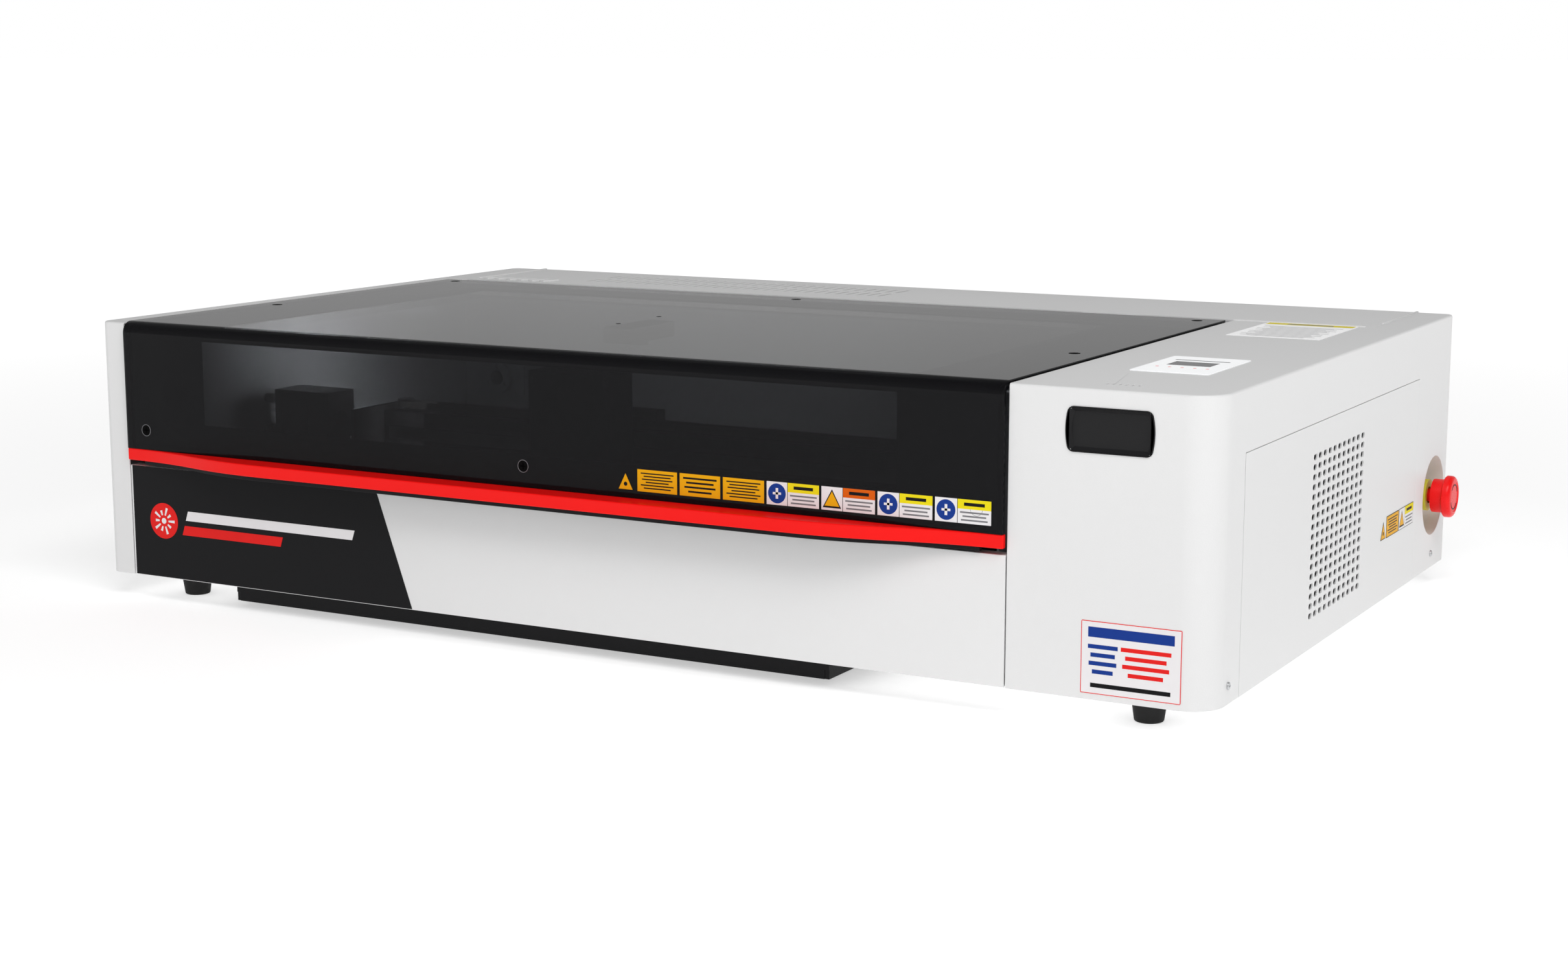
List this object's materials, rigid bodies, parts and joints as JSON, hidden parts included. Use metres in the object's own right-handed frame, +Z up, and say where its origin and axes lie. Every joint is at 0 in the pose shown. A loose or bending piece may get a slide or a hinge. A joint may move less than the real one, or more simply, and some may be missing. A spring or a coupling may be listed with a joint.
{
  "type": "laser engraver",
  "caption": "Closed-cabinet desktop laser engraver with a bent smoked lid, red pull handle, drop-down front door, crumb tray, moving gantry and laser head.",
  "frame": {"origin": "centre of the whole machine's box, at the floor under its feet", "axes": "+X to the machine's right, +Y to its rear, +Z up"},
  "size_m": [1.1224, 0.734, 0.2645],
  "materials": {
    "white_paint": "fine satin powder coat",
    "inner_paint": "light grey powder coat",
    "black_paint": "satin black powder coat",
    "black_plastic": "fine-textured black moulding",
    "smoked_acrylic": "polished smoked acrylic",
    "red_paint": "satin red paint",
    "red_plastic": "semi-gloss red moulding",
    "yellow_plastic": "semi-gloss yellow moulding",
    "accent_film": "satin black film",
    "screen_glass": "polished black cover glass",
    "rubber": "matte black rubber",
    "steel": "brushed zinc-plated steel",
    "aluminium": "satin anodised",
    "black_anodised": "black anodised",
    "tube_glass": "clear borosilicate glass",
    "green_board": "solder mask",
    "coolant_plastic": "translucent moulding"
  },
  "bodies": {
    "chassis": {"left_side_panel": "white_paint", "right_housing": "white_paint", "access_panel": "white_paint", "rear_cover": "white_paint", "rear_panel": "white_paint", "base_pan": "white_paint", "feet": "rubber", "housing_screws": "steel", "left_inner_wall": "inner_paint", "right_inner_wall": "inner_paint", "rear_bulkhead": "inner_paint", "front_crossbar": "black_paint", "honeycomb_bed": "aluminium", "beam_port_flange": "inner_paint", "hinge_leaves": "steel", "door_pivots": "steel", "tray_rails": "black_paint", "screen_housing": "black_plastic", "screen_glass": "screen_glass", "front_insert": "black_plastic", "estop_collar": "yellow_plastic", "power_inlet": "black_plastic", "y_rails": "steel", "y_belts": "rubber", "y_bearings": "aluminium", "y_motor": "black_paint", "laser_tube": "tube_glass", "tube_mounts": "black_plastic", "exhaust_duct": "steel", "exhaust_fan_frame": "black_plastic", "exhaust_outlet": "black_paint", "cooling_unit": "coolant_plastic", "power_supplies": "steel", "control_board": "green_board"},
    "lid": {"lid_shell": "smoked_acrylic", "lid_frame": "black_paint", "lid_screws": "black_anodised", "lid_camera": "black_plastic", "lid_handle": "red_paint", "handle_lip": "black_paint", "hinge_arms": "steel"},
    "front_door": {"front_door": "white_paint", "front_door_accent": "accent_film"},
    "crumb_tray": {"crumb_tray": "black_paint"},
    "gantry": {"gantry_beam": "black_anodised", "gantry_plates": "black_anodised", "x_rail": "steel", "x_belt": "rubber", "x_motor": "black_paint", "mirror_mount_2": "black_anodised"},
    "laser_head": {"head_carriage": "black_anodised", "head_cover": "black_paint", "cable_chain": "black_plastic"},
    "focus_tube": {"lens_tube": "aluminium"},
    "y_shaft": {"y_drive_shaft": "steel"},
    "x_pulley": {"x_drive_pulley": "aluminium"},
    "exhaust_rotor": {"exhaust_rotor": "black_plastic"},
    "estop_plunger": {"estop_plunger": "red_plastic"},
    "estop_head": {"estop_head": "red_plastic"},
    "power_rocker": {"power_rocker": "red_plastic"}
  },
  "joints": [
    {"name": "lid_hinge", "type": "hinge", "parent": "chassis", "child": "lid", "pos_m": [-0.0796, 0.1725, 0.259], "axis": [-1, 0, 0], "range_deg": [0, 72]},
    {"name": "front_door_hinge", "type": "hinge", "parent": "chassis", "child": "front_door", "pos_m": [-0.0796, -0.335, 0.029], "axis": [1, 0, 0], "range_deg": [0, 90]},
    {"name": "crumb_tray_slide", "type": "slide", "parent": "chassis", "child": "crumb_tray", "axis": [0, -1, 0], "range_m": [0, 0.4]},
    {"name": "gantry_slide", "type": "slide", "parent": "chassis", "child": "gantry", "axis": [0, 1, 0], "range_m": [-0.105, 0.26]},
    {"name": "head_slide", "type": "slide", "parent": "gantry", "child": "laser_head", "axis": [1, 0, 0], "range_m": [-0.14, 0.355]},
    {"name": "focus_slide", "type": "slide", "parent": "laser_head", "child": "focus_tube", "axis": [0, 0, 1], "range_m": [-0.006, 0.0095]},
    {"name": "y_shaft_spin", "type": "hinge", "parent": "chassis", "child": "y_shaft", "pos_m": [-0.0796, 0.151, 0.104], "axis": [1, 0, 0], "range_deg": [-1870, 760]},
    {"name": "x_pulley_spin", "type": "hinge", "parent": "gantry", "child": "x_pulley", "pos_m": [0.3014, -0.135, 0.173], "axis": [0, 0, 1], "range_deg": [-1345, 3400]},
    {"name": "exhaust_rotor_spin", "type": "hinge", "parent": "chassis", "child": "exhaust_rotor", "pos_m": [0.1404, 0.323, 0.077], "axis": [0, 1, 0], "continuous": true},
    {"name": "estop_push", "type": "slide", "parent": "chassis", "child": "estop_plunger", "axis": [-1, 0, 0], "range_m": [0, 0.004], "stiffness_N_per_m": 2000, "springref_m": -0.002},
    {"name": "estop_twist", "type": "hinge", "parent": "estop_plunger", "child": "estop_head", "pos_m": [0.5544, 0.2855, 0.0936], "axis": [1, 0, 0], "range_deg": [-45, 0], "stiffness_Nm_per_rad": 0.2, "springref_deg": 2.86},
    {"name": "power_rocker_tip", "type": "hinge", "parent": "chassis", "child": "power_rocker", "pos_m": [-0.4496, 0.333, 0.082], "axis": [1, 0, 0], "range_deg": [0, 20]}
  ],
  "couplings": [
    {"joint": "y_shaft_spin", "follows": "gantry_slide", "rad_per_m": -125},
    {"joint": "x_pulley_spin", "follows": "head_slide", "rad_per_m": 166.67}
  ]
}
